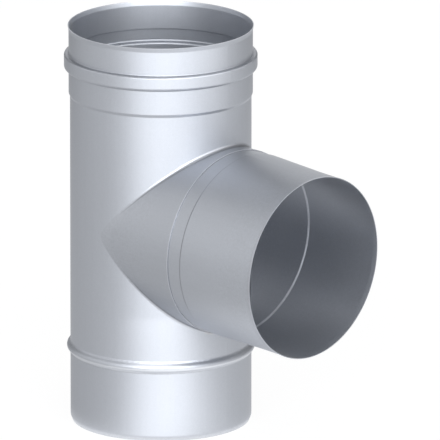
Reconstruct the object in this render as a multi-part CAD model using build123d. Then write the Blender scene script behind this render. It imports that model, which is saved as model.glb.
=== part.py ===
from build123d import *
from build123d.topology import SkipClean
import math
import os

os.makedirs("parts", exist_ok=True)

# Sheet and duct size
bore = 150.0               # inside diameter of the plain tube
sheet = 0.6                # thickness of the stainless sheet
tube_radius = bore / 2 + sheet

# Main tube, standing on its plain end
tube_height = 339.2        # from the plain end to the rim of the socket
curl_height = 3.6          # the plain end is drawn in over this height
curl_inset = 1.4           # and by this much, so that it starts into a socket
curl_bend = 6.0
stop_height = 63.5         # middle of the rounded stop bead above the plain end
stop_projection = 2.9      # how far the bead stands out of the tube
stop_flank = 45.0          # slope of its flanks, in degrees from the tube wall
stop_crown = 3.6           # outer radius of its crown
stop_root = 2.6            # outer radius where it leaves the tube

# Socket at the top of the main tube
socket_clearance = 0.55    # radial room round the plain end of the next pipe
socket_depth = 57.4        # from the rim to the ledge that stops the pipe
ledge_height = 2.3         # height of the slope down to the tube
ledge_bend = 1.6
band_below_rim = 24.1      # from the rim to the upper shoulder of the clamp band
band_height = 12.3
band_projection = 3.85     # how far the band stands out of the socket
band_corner = 1.5          # outer radius of the band's upper corner
band_foot = 2.4            # outer radius of its lower corner
band_root = 0.9            # outer radius where the band leaves the socket
lip_height = 3.7           # the rim flares over this height
lip_flare = 0.7
lip_bend = 4.0

# Branch, which leaves the main tube towards +X and slopes down
branch_angle = 86.8        # between the branch and the main tube below it
branch_height = 172.9      # where the two axes cross
branch_oversize = 2.1      # the neck's radius beyond the main tube's
collar_inset = 0.2         # radius of the conical collar under the main tube's, at the crossing
collar_lap = 2.4           # length of neck inside the collar
weld_radius = 3.2          # fillet weld along the saddle
neck_length = 13.3         # from the end of the collar to the start of the ledge

# Socket at the end of the branch, a little narrower at its mouth than at its ledge
branch_step = 0.55         # the ledge widens the neck by this much
branch_step_height = 1.4
branch_step_bend = 1.0
branch_depth = 78.0        # from the ledge to the middle of the mouth
branch_taper = 1.1         # the wall narrows by this much on the way to the mouth
branch_straight = 26.0     # length of straight wall, with the lip, that the next pipe fits
branch_lip = 5.2           # the mouth flares over this length
branch_flare = 0.45
mouth_tilt = 1.2           # the mouth is cut this many degrees nearer to upright than square

branch_slope = math.radians(90.0 - branch_angle)
branch_plane = Plane(
    origin=(0, 0, branch_height),
    x_dir=(math.sin(branch_slope), 0, math.cos(branch_slope)),
    z_dir=(math.cos(branch_slope), 0, -math.sin(branch_slope)),
)

socket_radius = tube_radius + socket_clearance + sheet
neck_radius = tube_radius + branch_oversize
collar_radius = neck_radius + sheet
branch_radius = neck_radius + branch_step - branch_taper

# Along the branch axis, from the axis of the main tube
neck_start = (tube_radius + neck_radius * math.sin(branch_slope)) / math.cos(branch_slope)
collar_end = neck_start + collar_lap
branch_ledge = collar_end + neck_length
branch_mouth = branch_ledge + branch_step_height + branch_depth


def run_on(point, before):
    """The point moved on by the sheet's thickness, away from the one before it."""
    step = Vector(*point) - Vector(*before)
    return Vector(*point) + step.normalized() * sheet


def formed_tube(points, bends):
    """Tube of sheet, cut flat at both ends, whose outer face follows points with a radius at each bend."""
    start = run_on(points[0], points[1])
    end = run_on(points[-1], points[-2])
    face = FilletPolyline(start, *points[1:-1], end, radius=bends)
    section = make_face(face.offset_2d(sheet, side=Side.LEFT))
    bottom = points[0][1]
    top = points[-1][1]
    section &= Pos(0, bottom) * Rectangle(4 * tube_radius, top - bottom, align=(Align.CENTER, Align.MIN))
    return revolve(Plane.XZ * section, Axis.Z)


def make_main_tube():
    apex = stop_projection + stop_crown * (1 / math.cos(math.radians(stop_flank)) - 1)
    flank = apex / math.tan(math.radians(stop_flank))
    points = [
        (tube_radius - curl_inset, 0),
        (tube_radius, curl_height),
        (tube_radius, stop_height - flank),
        (tube_radius + apex, stop_height),
        (tube_radius, stop_height + flank),
    ]
    bends = [curl_bend, stop_root, stop_crown, stop_root]

    ledge = tube_height - socket_depth
    band_top = tube_height - band_below_rim
    band_bottom = band_top - band_height
    band_radius = socket_radius + band_projection
    points += [
        (tube_radius, ledge - ledge_height),
        (socket_radius, ledge),
        (socket_radius, band_bottom),
        (band_radius, band_bottom),
        (band_radius, band_top),
        (socket_radius, band_top),
        (socket_radius, tube_height - lip_height),
        (socket_radius + lip_flare, tube_height),
    ]
    bends += [ledge_bend, ledge_bend, band_root, band_foot, band_corner, band_root, lip_bend]
    opening = collar_cone(sheet, collar_end)
    return formed_tube(points, bends) - opening


def collar_cone(inset, length):
    """Slightly conical solid of the collar's form, inset from its outer face, from the main tube's axis outwards."""
    start = tube_radius - collar_inset
    end = start + (collar_radius - start) * length / neck_start
    return branch_plane * Cone(start - inset, end - inset, length, align=(Align.CENTER, Align.CENTER, Align.MIN))


def make_saddle_collar():
    """Collar cut to the main tube, with a fillet weld along the saddle.

    It is made in quarters that meet at the saddle's tips and crotches, so that its curves stay exact there.
    """
    upwards = (Align.CENTER, Align.CENTER, Align.MIN)
    reach = 2 * tube_height
    overlength = collar_end + 3 * weld_radius
    side = Box(reach, reach, reach, align=(Align.CENTER, Align.MIN, Align.CENTER))
    main = Cylinder(tube_radius, tube_height, align=upwards) & side
    outer = collar_cone(0, overlength) & side
    core = collar_cone(sheet, overlength) & side
    end_cut = branch_plane * Pos(0, 0, collar_end) * Cylinder(reach, reach, align=upwards)

    joined = main + outer
    saddle = [edge for edge in joined.edges() if edge.geom_type == GeomType.BSPLINE]
    welded = joined.fillet(weld_radius, saddle) - main - end_cut

    quarters = []
    for above_or_below in (Align.MIN, Align.MAX):
        room = Box(reach, reach, reach, align=(above_or_below, Align.CENTER, Align.MIN))
        quarter = branch_plane * room
        quarters.append((welded & quarter) - (core & quarter))
    with SkipClean():
        half = quarters[0] + quarters[1]
        return half + half.mirror(Plane.XZ)


def make_branch_socket():
    half_cut = (branch_radius + branch_flare) * math.tan(math.radians(mouth_tilt))
    end = branch_mouth + half_cut
    ledge = branch_ledge + branch_step_height
    points = [
        (neck_radius, neck_start),
        (neck_radius, branch_ledge),
        (neck_radius + branch_step, ledge),
        (branch_radius, branch_mouth - branch_straight),
        (branch_radius, end - branch_lip),
        (branch_radius + branch_flare, end),
    ]
    socket = formed_tube(points, [branch_step_bend, branch_step_bend, lip_bend, lip_bend])
    waste = Box(tube_height, tube_height, tube_height, align=(Align.CENTER, Align.CENTER, Align.MIN))
    socket -= Pos(0, 0, branch_mouth) * Rot(0, mouth_tilt, 0) * waste
    return branch_plane * socket


pieces = {
    "main_tube": make_main_tube(),
    "saddle_collar": make_saddle_collar(),
    "branch_socket": make_branch_socket(),
}
for name, piece in pieces.items():
    export_step(piece, f"parts/{name}.step")
    print(name, len(piece.solids()), round(piece.volume))
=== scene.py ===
import bpy
import math
from mathutils import Matrix, Vector

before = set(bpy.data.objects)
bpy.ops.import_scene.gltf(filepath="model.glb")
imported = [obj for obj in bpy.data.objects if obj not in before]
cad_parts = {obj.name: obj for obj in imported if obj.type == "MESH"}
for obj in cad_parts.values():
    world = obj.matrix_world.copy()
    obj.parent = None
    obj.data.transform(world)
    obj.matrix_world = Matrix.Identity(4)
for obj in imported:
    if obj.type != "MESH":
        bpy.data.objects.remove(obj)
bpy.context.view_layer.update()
print("frame loaded:", sorted(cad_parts))

# camera
photoCamera = {
    "azimuth": 43.6,
    "elevation": 15.6,
    "aim": (0.0357, 0.034, 0.1705),
    "frameWidth": 0.3669,                # what the frame takes in at the aim
    "lens": 1600.0,                      # long, because the photograph shows no perspective
    "sensor": 36.0,
    "clip": (1.0, 100.0),
}


def towards(azimuth, elevation):
    az, el = math.radians(azimuth), math.radians(elevation)
    return Vector((math.sin(az) * math.cos(el), -math.cos(az) * math.cos(el), math.sin(el)))


def addCamera():
    c = photoCamera
    back = towards(c["azimuth"], c["elevation"])
    distance = c["frameWidth"] * c["lens"] / c["sensor"]
    bpy.ops.object.camera_add(location=Vector(c["aim"]) + back * distance)
    cam = bpy.context.object
    cam.name = "photoCamera"
    cam.rotation_euler = (-back).to_track_quat("-Z", "Y").to_euler()
    cam.data.lens = c["lens"]
    cam.data.sensor_width = c["sensor"]
    cam.data.clip_start, cam.data.clip_end = c["clip"]
    bpy.context.scene.camera = cam


addCamera()
print("camera placed")

white = (1.0, 1.0, 1.0, 1.0)


# node helpers
def newTree(owner):
    owner.use_nodes = True
    owner.node_tree.nodes.clear()
    return owner.node_tree


def feed(tree, socket, value):
    if isinstance(value, bpy.types.NodeSocket):
        tree.links.new(value, socket)
    else:
        socket.default_value = value


def addNode(tree, kind, inputs=None, **settings):
    node = tree.nodes.new(kind)
    for name, value in settings.items():
        setattr(node, name, value)
    for socket, value in (inputs or {}).items():
        feed(tree, node.inputs[socket], value)
    return node


def calc(tree, operation, *values):
    return addNode(tree, "ShaderNodeMath", dict(enumerate(values)), operation=operation).outputs[0]


def vectorCalc(tree, operation, *values):
    # gives a number for a distance, a length or a dot product, and a vector for the rest
    node = addNode(tree, "ShaderNodeVectorMath", dict(enumerate(values)), operation=operation)
    isNumber = operation in ("DISTANCE", "LENGTH", "DOT_PRODUCT")
    return node.outputs["Value" if isNumber else "Vector"]


def partsOf(tree, vector):
    return addNode(tree, "ShaderNodeSeparateXYZ", {0: vector}).outputs


def ramp(tree, value, fromLow, fromHigh, toLow=0.0, toHigh=1.0):
    # smooth step from one value to another
    node = addNode(tree, "ShaderNodeMapRange", interpolation_type="SMOOTHSTEP")
    for socket, part in zip(node.inputs, (value, fromLow, fromHigh, toLow, toHigh)):
        feed(tree, socket, part)
    return node.outputs[0]


def noise(tree, vector, scale, detail=3.0, rough=0.55):
    inputs = {"Vector": vector, "Scale": scale, "Detail": detail, "Roughness": rough}
    return addNode(tree, "ShaderNodeTexNoise", inputs).outputs["Fac"]


def objectPlace(tree):
    return addNode(tree, "ShaderNodeTexCoord").outputs["Object"]


def emission(tree, strength):
    return addNode(tree, "ShaderNodeEmission", {"Color": white, "Strength": strength}).outputs[0]


def mixShaders(tree, share, first, second):
    return addNode(tree, "ShaderNodeMixShader", {0: share, 1: first, 2: second}).outputs[0]


def setSurface(tree, shader):
    addNode(tree, "ShaderNodeOutputMaterial", {"Surface": shader})


def seenAsBackground(tree):
    # 1 for the rays that show the background, in metal too
    path = addNode(tree, "ShaderNodeLightPath").outputs
    seen = calc(tree, "MAXIMUM", path["Is Camera Ray"], path["Is Glossy Ray"])
    return calc(tree, "MAXIMUM", seen, path["Is Transmission Ray"])


# studio: a white room with a pale floor and one wide soft lamp
studioRoom = {
    "worldLight": 0.75,
    "floorSize": 14.0,
    "floorColor": (0.9, 0.9, 0.9),
    "floorGlow": 0.86,                   # share of the floor's white that no shadow darkens
}
frontLamp = {
    "azimuth": 46.0,
    "distance": 5.0,
    "height": 1.35,                      # of its middle
    "aim": (0.0, 0.0, 0.17),
    "size": (7.4, 2.9),
    "power": 350.0,
    "color": (0.96, 0.98, 1.0),
}
# what the metal reflects beside the room; only reflections see it
cardSides = 180
cards = {                                # upright round the object; spans in degrees from the camera
    "leftCard": {"span": (-122.0, -56.0), "radius": 1.2, "top": 1.9, "low": 0.40, "high": 0.42, "fade": (0.6, 1.2)},
    "backCard": {"span": (112.0, 238.0), "radius": 1.2, "top": 1.9, "low": 0.36, "high": 0.25, "fade": (0.3, 1.2)},
    "rimCard": {"span": (162.0, 198.0), "radius": 1.1, "top": 1.5, "low": 1.3, "high": 1.0, "fade": (0.3, 1.2)},
    "rightCard": {"span": (74.0, 112.0), "radius": 1.2, "top": 1.9, "low": 0.55, "high": 1.3, "fade": (0.4, 0.9)},
    "mouthCard": {"span": (38.0, 74.0), "radius": 0.42, "top": 0.7, "low": 1.15, "high": 2.6, "fade": (0.15, 0.5)},
}
ceilings = {                             # level, seen from below; the last one lights the bead
    "darkCeiling": {"at": (0.0, 0.0, 1.9), "size": (2.6, 2.6), "grey": 0.34},
    "whitePanel": {"at": (0.25, -0.26, 1.3), "size": (0.6, 0.6), "grey": 2.6},
    "beadCard": {"at": (0.0695, -0.073, 0.108), "size": (0.100, 0.031), "grey": 2.8},
}
floorPool = {                            # the floor's own light in reflections
    "white": 1.04,                       # for the camera
    "at": (0.17, -0.10),                 # where the lamp falls in front
    "size": 0.36,
    "light": 1.72,
    "nearLight": 1.3,                    # close to the foot, where it lights the bead and the rim from below
    "nearReach": (0.080, 0.110),
    "around": (0.73, 0.99),              # the rest, at the left and at the right
    "aroundFrom": (-1.0, 0.3),           # the sideways places of the two: -1 full left, 1 full right
}


def buildWorld():
    world = bpy.data.worlds.new("studioWhite")
    bpy.context.scene.world = world
    tree = newTree(world)
    lift = calc(tree, "MULTIPLY", seenAsBackground(tree), 1.0 - studioRoom["worldLight"])
    strength = calc(tree, "ADD", lift, studioRoom["worldLight"])
    sky = addNode(tree, "ShaderNodeBackground", {"Color": white, "Strength": strength})
    addNode(tree, "ShaderNodeOutputWorld", {"Surface": sky.outputs[0]})


def floorLight(tree):
    f = floorPool
    where = objectPlace(tree)
    fromPool = vectorCalc(tree, "DISTANCE", where, (*f["at"], 0.0))
    pool = ramp(tree, fromPool, 0.0, f["size"], f["light"], 0.0)
    right = (*towards(photoCamera["azimuth"] + 90.0, 0.0),)
    aside = vectorCalc(tree, "DOT_PRODUCT", where, right)
    fromFoot = vectorCalc(tree, "LENGTH", where)
    around = ramp(tree, calc(tree, "DIVIDE", aside, fromFoot), *f["aroundFrom"], *f["around"])
    near = ramp(tree, fromFoot, *f["nearReach"], f["nearLight"], 0.0)
    brightest = calc(tree, "MAXIMUM", calc(tree, "MAXIMUM", pool, around), near)
    mirrored = calc(tree, "SUBTRACT", brightest, f["white"])
    inMetal = addNode(tree, "ShaderNodeLightPath").outputs["Is Glossy Ray"]
    return calc(tree, "ADD", calc(tree, "MULTIPLY", mirrored, inMetal), f["white"])


def buildFloor():
    bpy.ops.mesh.primitive_plane_add(size=studioRoom["floorSize"], location=(0, 0, 0))
    floor = bpy.context.object
    floor.name = "studioFloor"
    paint = bpy.data.materials.new("paleFloor")
    tree = newTree(paint)
    matte = addNode(tree, "ShaderNodeBsdfDiffuse", {"Color": (*studioRoom["floorColor"], 1.0)})
    share = calc(tree, "MULTIPLY", seenAsBackground(tree), studioRoom["floorGlow"])
    setSurface(tree, mixShaders(tree, share, matte.outputs[0], emission(tree, floorLight(tree))))
    floor.data.materials.append(paint)


def addFrontLamp():
    f = frontLamp
    place = towards(f["azimuth"], 0.0) * f["distance"]
    place.z = f["height"]
    bpy.ops.object.light_add(type="AREA", location=place)
    lamp = bpy.context.object
    lamp.name = "frontLamp"
    lamp.data.shape = "RECTANGLE"
    lamp.data.size, lamp.data.size_y = f["size"]
    lamp.data.energy = f["power"]
    lamp.data.color = f["color"]
    lamp.rotation_euler = (Vector(f["aim"]) - place).to_track_quat("-Z", "Y").to_euler()
    lamp.visible_camera = False


def onlyInReflections(card):
    card.visible_camera = False
    card.visible_diffuse = False
    card.visible_transmission = False
    card.visible_shadow = False


def applyPlace(piece):
    bpy.ops.object.select_all(action="DESELECT")
    piece.select_set(True)
    bpy.context.view_layer.objects.active = piece
    bpy.ops.object.transform_apply(location=True, rotation=True, scale=True)


def keepSpan(card, span):
    # takes away the faces outside the span, which is in degrees from the camera
    middle = photoCamera["azimuth"] + sum(span) / 2
    half = (span[1] - span[0]) / 2
    for face in card.data.polygons:
        aside = math.degrees(math.atan2(face.center.x, -face.center.y)) - middle
        face.select = abs((aside + 180) % 360 - 180) > half
    bpy.ops.object.mode_set(mode="EDIT")
    bpy.ops.mesh.select_mode(type="FACE")
    bpy.ops.mesh.delete(type="FACE")
    bpy.ops.object.mode_set(mode="OBJECT")


def buildCard(name):
    # part of an open cylinder round the object, grey by height from low at the floor to high at the top
    c = cards[name]
    bpy.ops.mesh.primitive_cylinder_add(
        vertices=cardSides, radius=c["radius"], depth=c["top"],
        end_fill_type="NOTHING", location=(0, 0, c["top"] / 2),
    )
    card = bpy.context.object
    card.name = name
    applyPlace(card)
    keepSpan(card, c["span"])
    paint = bpy.data.materials.new(name + "Grey")
    tree = newTree(paint)
    height = partsOf(tree, objectPlace(tree))["Z"]
    setSurface(tree, emission(tree, ramp(tree, height, *c["fade"], c["low"], c["high"])))
    card.data.materials.append(paint)
    onlyInReflections(card)


def buildCeiling(name):
    c = ceilings[name]
    turn = (0, 0, math.radians(photoCamera["azimuth"]))
    bpy.ops.mesh.primitive_plane_add(size=1.0, location=c["at"], rotation=turn)
    card = bpy.context.object
    card.name = name
    card.scale = (*c["size"], 1.0)
    applyPlace(card)
    paint = bpy.data.materials.new(name + "Grey")
    tree = newTree(paint)
    clear = addNode(tree, "ShaderNodeBsdfTransparent").outputs[0]
    fromBelow = addNode(tree, "ShaderNodeNewGeometry").outputs["Backfacing"]
    setSurface(tree, mixShaders(tree, fromBelow, clear, emission(tree, c["grey"])))
    card.data.materials.append(paint)
    onlyInReflections(card)


buildWorld()
buildFloor()
addFrontLamp()
for cardName in cards:
    buildCard(cardName)
for ceilingName in ceilings:
    buildCeiling(ceilingName)
bpy.context.scene.view_settings.view_transform = "Standard"
print("studio built")


# shared effects of the stainless sheet; a vector's Z runs along the duct, with the seam at -X
def newGroup(name, inputs, outputs):
    group = bpy.data.node_groups.new(name, "ShaderNodeTree")
    for socket in inputs:
        kind = "NodeSocketVector" if socket == "Vector" else "NodeSocketFloat"
        group.interface.new_socket(socket, in_out="INPUT", socket_type=kind)
    for socket in outputs:
        group.interface.new_socket(socket, in_out="OUTPUT", socket_type="NodeSocketFloat")
    return group, group.nodes.new("NodeGroupInput").outputs, group.nodes.new("NodeGroupOutput").inputs


def fromAxis(tree, vector):
    xyz = partsOf(tree, vector)
    flat = addNode(tree, "ShaderNodeCombineXYZ", {"X": xyz["X"], "Y": xyz["Y"], "Z": 0.0}).outputs[0]
    return vectorCalc(tree, "LENGTH", flat)


def aroundDuct(tree, vector, radius):
    # way round the duct from +X, in metres, and height along it
    xyz = partsOf(tree, vector)
    return calc(tree, "MULTIPLY", calc(tree, "ARCTAN2", xyz["Y"], xyz["X"]), radius), xyz["Z"]


def centred(tree, value, amount=1.0):
    return calc(tree, "MULTIPLY", calc(tree, "SUBTRACT", value, 0.5), amount)


rolledFinish = {                         # each noise by scale, detail and roughness
    "fine": (1300.0, 2.0, 0.55),
    "coarse": (520.0, 3.0, 0.6),
    "streak": (520.0, 4.0, 0.7),
    "cloud": (22.0, 3.0, 0.55),
    "streakShrink": 0.02,                # of the height, so that a streak is long
    "streakSlice": 0.37,
    "innerFace": (0.0002, 0.0005),       # depth below the outer face where the inner one starts
    "coarseOutside": 0.5,                # least share of the coarse noise; the inner face has 1 more
    "cloudTone": 0.5,
    "mottleDullness": 0.4,
}


def makeSheetGrain():
    # rolled finish: fine mottling, coarser inside, faint streaks along the duct, broad dull patches
    f = rolledFinish
    inputs = ["Vector", "Radius", "Mottle", "Streak", "Patch"]
    tree, given, result = newGroup("sheetGrain", inputs, ["Tone", "Dullness", "Height"])
    vector = given["Vector"]
    depth = calc(tree, "SUBTRACT", given["Radius"], fromAxis(tree, vector))
    coarseShare = calc(tree, "ADD", ramp(tree, depth, *f["innerFace"]), f["coarseOutside"])
    fine = centred(tree, noise(tree, vector, *f["fine"]))
    coarse = centred(tree, noise(tree, vector, *f["coarse"]))
    arc, height = aroundDuct(tree, vector, given["Radius"])
    shrunk = calc(tree, "MULTIPLY", height, f["streakShrink"])
    unrolled = addNode(tree, "ShaderNodeCombineXYZ", {"X": arc, "Y": shrunk, "Z": f["streakSlice"]}).outputs[0]
    streak = centred(tree, noise(tree, unrolled, *f["streak"]))
    cloud = calc(tree, "MULTIPLY", centred(tree, noise(tree, vector, *f["cloud"])), given["Patch"])
    speckle = calc(tree, "ADD", fine, calc(tree, "MULTIPLY", coarse, coarseShare))
    mottle = calc(tree, "MULTIPLY", speckle, given["Mottle"])
    spread = calc(tree, "ADD", mottle, calc(tree, "MULTIPLY", streak, given["Streak"]))
    patchy = calc(tree, "ADD", spread, calc(tree, "MULTIPLY", cloud, f["cloudTone"]))
    feed(tree, result["Tone"], calc(tree, "ADD", patchy, 1.0))
    dulling = calc(tree, "MULTIPLY", mottle, f["mottleDullness"])
    feed(tree, result["Dullness"], calc(tree, "ADD", cloud, dulling))
    feed(tree, result["Height"], calc(tree, "ADD", speckle, streak))
    return tree


seamForm = {                             # the two fades are in widths of the seam
    "lineFade": (0.35, 0.6),
    "heatFade": (0.5, 2.6),
    "wanderScale": 60.0,
    "wander": 0.0009,
    "ripples": 5200.0,                   # in radians for each metre
    "rippleHeight": 0.25,
}


def makeSeamWeld():
    # planished lengthwise seam: a narrow dull line with fine ripples, and a faint warm band beside it
    s = seamForm
    tree, given, result = newGroup("seamWeld", ["Vector", "Radius", "Width"], ["Line", "Heat", "Height"])
    arc, height = aroundDuct(tree, given["Vector"], given["Radius"])
    wander = centred(tree, noise(tree, given["Vector"], s["wanderScale"]), s["wander"])
    half = calc(tree, "MULTIPLY", given["Radius"], math.pi)
    straight = calc(tree, "SUBTRACT", half, calc(tree, "ABSOLUTE", arc))
    away = calc(tree, "ABSOLUTE", calc(tree, "ADD", straight, wander))
    share = calc(tree, "DIVIDE", away, given["Width"])
    line = ramp(tree, share, *s["lineFade"], 1.0, 0.0)
    ripple = calc(tree, "SINE", calc(tree, "MULTIPLY", height, s["ripples"]))
    rippled = calc(tree, "ADD", calc(tree, "MULTIPLY", ripple, s["rippleHeight"]), 1.0)
    feed(tree, result["Line"], line)
    feed(tree, result["Heat"], ramp(tree, share, *s["heatFade"], 1.0, 0.0))
    feed(tree, result["Height"], calc(tree, "MULTIPLY", line, rippled))
    return tree


ringForm = {"fade": (0.3, 1.0), "unevenScale": 90.0, "uneven": 0.5}


def makeRingLine():
    # thin line round the duct where the vector's Z is 0, a little uneven along its way
    r = ringForm
    tree, given, result = newGroup("ringLine", ["Vector", "Width"], ["Mask"])
    away = calc(tree, "ABSOLUTE", partsOf(tree, given["Vector"])["Z"])
    uneven = centred(tree, noise(tree, given["Vector"], r["unevenScale"]), r["uneven"])
    width = calc(tree, "MULTIPLY", given["Width"], calc(tree, "ADD", uneven, 1.0))
    feed(tree, result["Mask"], ramp(tree, calc(tree, "DIVIDE", away, width), *r["fade"], 1.0, 0.0))
    return tree


brushedForm = {
    "fade": (0.55, 1.1),                 # in reaches of the weld
    "raggedNoise": (140.0, 4.0),
    "ragged": 0.5,
    "scratchScales": (900.0, 140.0, 2600.0),
    "scratchNoise": (1.0, 3.0, 0.7),
}


def makeBrushedWeld():
    # the fillet weld along the saddle was ground and brushed: fine short scratches that end raggedly
    b = brushedForm
    tree, given, result = newGroup("brushedWeld", ["Vector", "Away", "Reach"], ["Mask", "Height"])
    ragged = centred(tree, noise(tree, given["Vector"], *b["raggedNoise"]), b["ragged"])
    share = calc(tree, "ADD", calc(tree, "DIVIDE", given["Away"], given["Reach"]), ragged)
    mask = ramp(tree, share, *b["fade"], 1.0, 0.0)
    stretched = vectorCalc(tree, "MULTIPLY", given["Vector"], b["scratchScales"])
    scratches = centred(tree, noise(tree, stretched, *b["scratchNoise"]))
    feed(tree, result["Mask"], mask)
    feed(tree, result["Height"], calc(tree, "MULTIPLY", scratches, mask))
    return tree


toeForm = {"reach": (0.0001, 0.0007), "turned": (0.78, 0.95)}


def makeWeldToeShade():
    # painted shade: a dark line where the fillet weld ends on the collar; on the fillet itself, away is radius x (1
    # - facing)
    tree, given, result = newGroup("weldToeShade", ["Away", "Facing", "Radius"], ["Mask"])
    rise = calc(tree, "MULTIPLY", calc(tree, "SUBTRACT", 1.0, given["Facing"]), given["Radius"])
    beyond = calc(tree, "SUBTRACT", given["Away"], rise)
    close = ramp(tree, beyond, *toeForm["reach"], 1.0, 0.0)
    turned = ramp(tree, given["Facing"], *toeForm["turned"], 1.0, 0.0)
    feed(tree, result["Mask"], calc(tree, "MULTIPLY", close, turned))
    return tree


sheetGrain = makeSheetGrain()
seamWeld = makeSeamWeld()
ringLine = makeRingLine()
brushedWeld = makeBrushedWeld()
weldToeShade = makeWeldToeShade()
print("effects made")


# stainless sheet
sheetSteel = {
    "color": (0.449, 0.468, 0.508),
    "warm": (0.47, 0.455, 0.44),         # heat tint beside a seam
    "paintedHighlightAndBurnish": (0.80, 0.82, 0.86),        # painted highlights on the rims, foot, bead, collar end and ledges; also the burnished cut edges and the brushed weld
    "paintedShade": (0.20, 0.205, 0.22),         # painted shade in the creases, at the steps and at the weld's toe
    "roughness": 0.47,
    "edgeTint": 0.88,
    "mottle": 0.16,
    "streak": 0.05,
    "patch": 0.05,
    "grainDepth": 0.000004,
    "seamWidth": 0.0022,
    "seamHeight": 6.0,                   # in depths of the grain
    "seamDullness": 0.10,
    "heat": 0.3,
    "outerFace": (-0.3, 0.0),            # facing between the inner and the outer face
}
branchSlope = 3.2
branchTilt = 90.0 + branchSlope
ducts = {                                # axis, turn of the seam round it, outer radius and tone of the sheet; the lower tone on the collar and branch is painted shade
    "tube": {"at": (0.0, 0.0, 0.0), "tilt": 0.0, "seam": 31.6, "radius": 0.0756, "shadeTone": 1.0},
    "branch": {"at": (0.0, 0.0, 0.1729), "tilt": branchTilt, "seam": 166.0, "radius": 0.0777, "shadeTone": 0.94},
}
# rings round a duct, painted highlights and painted shade: distance along it, width, colour and its share, and the
# side of the sheet if not both
tubeLines = {
    # painted highlight on the top rim, over a partly burnished cut edge
    "tubeRimHighlight": {"at": 0.3392, "width": 0.0010, "color": "paintedHighlightAndBurnish", "share": 0.2},
    # painted highlight on the rounded foot, where it faces the floor
    "tubeFootHighlight": {"at": 0.0006, "width": 0.0036, "color": "paintedHighlightAndBurnish", "share": 0.3},
    # painted highlight on the bead's lower slope
    "beadUnderHighlight": {"at": 0.0611, "width": 0.0026, "color": "paintedHighlightAndBurnish", "share": 0.66},
    # painted shade in the crease at the socket's bottom, inside
    "socketCreaseShade": {"at": 0.2824, "width": 0.0016, "color": "paintedShade", "share": 0.9, "side": "inside"},
    # painted shade along the band's top and foot edges
    "bandTopShade": {"at": 0.3152, "width": 0.0008, "color": "paintedShade", "share": 0.25, "side": "outside"},
    "bandFootShade": {"at": 0.3026, "width": 0.0008, "color": "paintedShade", "share": 0.15, "side": "outside"},
}
collarLines = {
    # painted highlight on the collar's cut end
    "collarEndHighlight": {"at": 0.0826, "width": 0.0013, "color": "paintedHighlightAndBurnish", "share": 0.38},
}
branchLines = {
    # painted shade in the steps at the neck's lap and ledge
    "neckLapShade": {"at": 0.0828, "width": 0.0006, "color": "paintedShade", "share": 0.4, "side": "outside"},
    "neckLedgeShade": {"at": 0.0963, "width": 0.0010, "color": "paintedShade", "share": 0.45, "side": "outside"},
    # painted highlight on the inner ledge
    "innerLedgeHighlight": {"at": 0.0966, "width": 0.0016, "color": "paintedHighlightAndBurnish", "share": 0.7, "side": "inside"},
    # painted highlight on the mouth's rim, over a partly burnished cut edge
    "mouthRimHighlight": {"at": 0.1752, "width": 0.0028, "color": "paintedHighlightAndBurnish", "share": 0.04},
}
saddleWeld = {                           # shares of the lighter brushed metal and of the painted shade at the weld's toe
    "beside": "tube",
    "radius": 0.0032,
    "reach": 0.0018,
    "paintedHighlightAndBurnish": 0.04,
    "toeShade": 0.55,
    "depth": 2.5,                        # of the scratches, in depths of the grain
}


def tilted(duct):
    return Matrix.Rotation(math.radians(ducts[duct]["tilt"]), 3, "Y")


def along(tree, duct, distance=0.0):
    # object coordinates turned so that Z runs along the duct from the given place
    d = ducts[duct]
    turn = tilted(duct) @ Matrix.Rotation(math.radians(d["seam"]), 3, "Z")
    start = Vector(d["at"]) + turn @ Vector((0, 0, distance))
    move = {"Vector": objectPlace(tree), "Location": start, "Rotation": turn.to_euler()}
    return addNode(tree, "ShaderNodeMapping", move, vector_type="TEXTURE").outputs[0]


def facing(tree, duct):
    # how far the surface faces straight away from a duct's axis: 1 outside, 0 across it, -1 inside
    axis = tilted(duct) @ Vector((0, 0, 1))
    place = addNode(tree, "ShaderNodeTexCoord").outputs
    start = vectorCalc(tree, "SUBTRACT", place["Object"], ducts[duct]["at"])
    aside = vectorCalc(tree, "SUBTRACT", start, vectorCalc(tree, "PROJECT", start, axis))
    return vectorCalc(tree, "DOT_PRODUCT", place["Normal"], vectorCalc(tree, "NORMALIZE", aside))


def useGroup(tree, group, inputs):
    return addNode(tree, "ShaderNodeGroup", inputs, node_tree=group).outputs


def blendColor(tree, mask, first, second):
    # sockets 0, 6 and 7 and output 2 are the ones that the node uses for colours
    return addNode(tree, "ShaderNodeMix", {0: mask, 6: first, 7: second}, data_type="RGBA").outputs[2]


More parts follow.
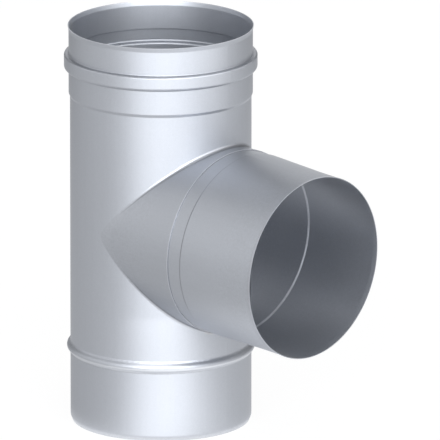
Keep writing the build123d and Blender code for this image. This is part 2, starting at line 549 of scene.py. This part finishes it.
def makeSheetMaterial(name, duct, lines, weld=None):
    s = sheetSteel
    paints = {part: (*s[part], 1.0) for part in ("color", "warm", "paintedHighlightAndBurnish", "paintedShade")}
    steel = bpy.data.materials.new(name)
    tree = newTree(steel)
    vector = along(tree, duct)
    radius = ducts[duct]["radius"]
    grain = useGroup(tree, sheetGrain, {
        "Vector": vector, "Radius": radius, "Mottle": s["mottle"], "Streak": s["streak"], "Patch": s["patch"],
    })
    seam = useGroup(tree, seamWeld, {"Vector": vector, "Radius": radius, "Width": s["seamWidth"]})
    heat = calc(tree, "MULTIPLY", seam["Heat"], s["heat"])
    color = blendColor(tree, heat, paints["color"], paints["warm"])
    dullness = calc(tree, "ADD", grain["Dullness"], calc(tree, "MULTIPLY", seam["Line"], s["seamDullness"]))
    height = calc(tree, "ADD", grain["Height"], calc(tree, "MULTIPLY", seam["Height"], s["seamHeight"]))
    outside = ramp(tree, facing(tree, duct), *s["outerFace"])
    sides = {"inside": calc(tree, "SUBTRACT", 1.0, outside), "outside": outside}
    for line in lines.values():
        ring = useGroup(tree, ringLine, {"Vector": along(tree, duct, line["at"]), "Width": line["width"]})
        share = calc(tree, "MULTIPLY", ring["Mask"], line["share"])
        if "side" in line:
            share = calc(tree, "MULTIPLY", share, sides[line["side"]])
        color = blendColor(tree, share, color, paints[line["color"]])
    if weld:
        beside = weld["beside"]
        away = calc(tree, "SUBTRACT", fromAxis(tree, along(tree, beside)), ducts[beside]["radius"])
        brushed = useGroup(tree, brushedWeld, {"Vector": vector, "Away": away, "Reach": weld["reach"]})
        brushedShare = calc(tree, "MULTIPLY", brushed["Mask"], weld["paintedHighlightAndBurnish"])
        color = blendColor(tree, brushedShare, color, paints["paintedHighlightAndBurnish"])
        height = calc(tree, "ADD", height, calc(tree, "MULTIPLY", brushed["Height"], weld["depth"]))
        # painted shade at the weld's toe, on the outer face only
        toeShade = useGroup(tree, weldToeShade, {"Away": away, "Facing": facing(tree, beside), "Radius": weld["radius"]})
        toeShadeShare = calc(tree, "MULTIPLY", calc(tree, "MULTIPLY", toeShade["Mask"], outside), weld["toeShade"])
        color = blendColor(tree, toeShadeShare, color, paints["paintedShade"])
    # a lower tone darkens the collar and branch as painted shade
    shade = calc(tree, "MULTIPLY", grain["Tone"], ducts[duct]["shadeTone"])
    bump = addNode(tree, "ShaderNodeBump", {"Strength": 1.0, "Distance": s["grainDepth"], "Height": height})
    skin = addNode(tree, "ShaderNodeBsdfPrincipled", {
        "Base Color": vectorCalc(tree, "MULTIPLY", color, shade),
        "Metallic": 1.0,
        "Roughness": calc(tree, "ADD", dullness, s["roughness"]),
        "Specular Tint": (*[s["edgeTint"]] * 3, 1.0),
        "Normal": bump.outputs[0],
    })
    setSurface(tree, skin.outputs[0])
    return steel


def dress(node, material):
    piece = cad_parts[node]
    if not piece.material_slots:
        piece.data.materials.append(material)
    for slot in piece.material_slots:
        slot.material = material


dress("main_tube", makeSheetMaterial("tubeSheet", "tube", tubeLines))
dress("saddle_collar", makeSheetMaterial("collarSheet", "branch", collarLines, saddleWeld))
dress("branch_socket", makeSheetMaterial("branchSheet", "branch", branchLines))
print("steel dressed")

bpy.context.view_layer.update()
